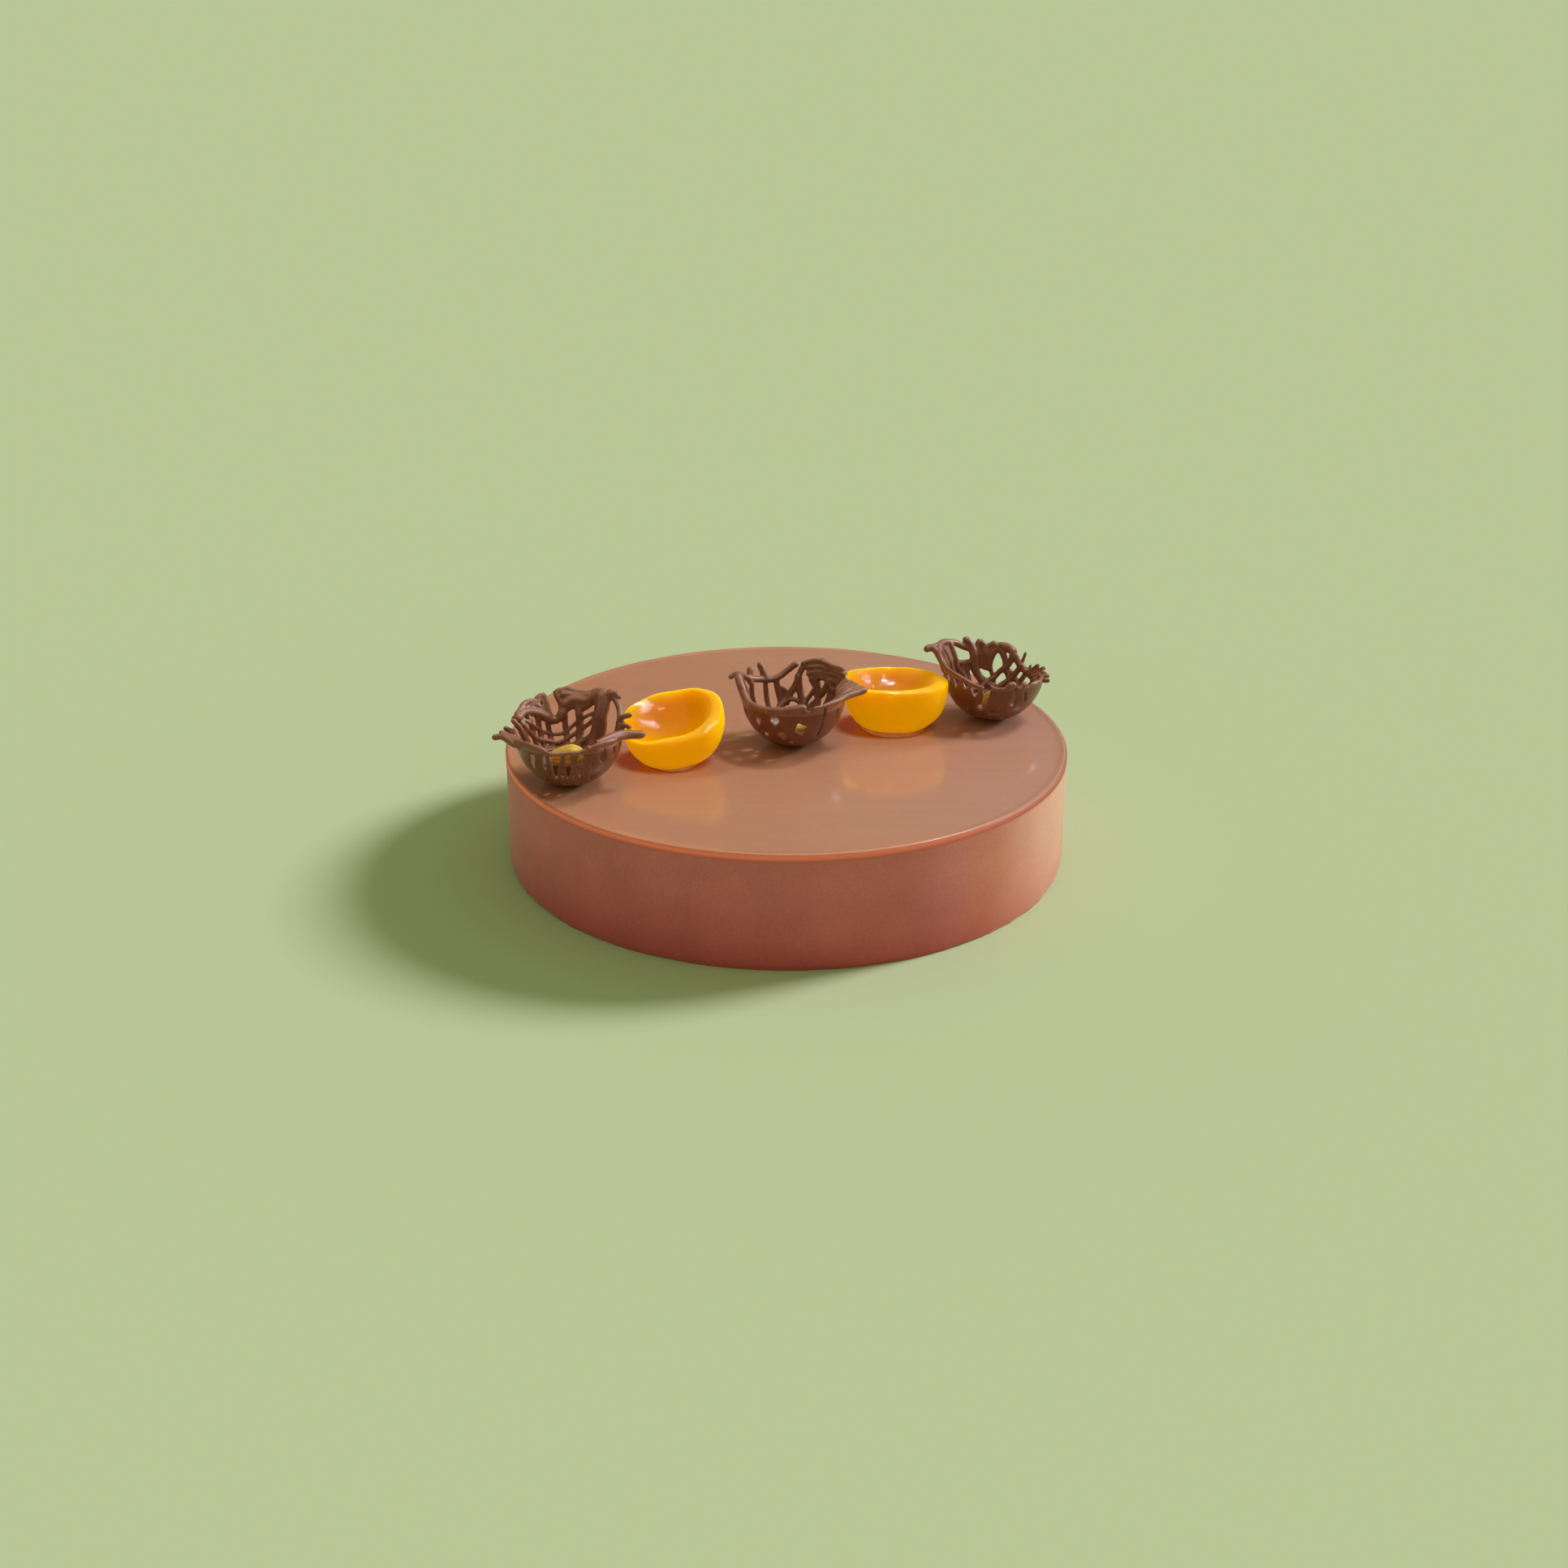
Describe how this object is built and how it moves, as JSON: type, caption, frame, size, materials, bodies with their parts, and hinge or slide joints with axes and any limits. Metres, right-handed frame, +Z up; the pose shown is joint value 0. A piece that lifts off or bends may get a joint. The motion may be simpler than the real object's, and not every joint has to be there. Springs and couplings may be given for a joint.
{
  "type": "apricot torte",
  "caption": "Round glazed mousse torte, whole, topped with a row of stoned apricot halves and piped chocolate baskets that hold pistachio kernels.",
  "frame": {"origin": "middle of the torte's flat underside", "axes": "+Z up out of the torte's top, +X along the row of toppings to the right as the front is seen, -Y towards the front"},
  "size_m": [0.24, 0.24, 0.0806],
  "materials": {
    "mousse": "matte",
    "glaze": "gloss",
    "chocolate": "satin",
    "apricot": "gloss",
    "pistachio": "satin"
  },
  "bodies": {
    "root": {"torte_body": "mousse", "glaze_layer": "glaze", "chocolate_basket_left": "chocolate", "chocolate_basket_middle": "chocolate", "chocolate_basket_right": "chocolate", "pistachio_left": "pistachio", "pistachio_middle": "pistachio", "pistachio_right": "pistachio", "apricot_half_left": "apricot", "apricot_half_right": "apricot"}
  },
  "joints": []
}
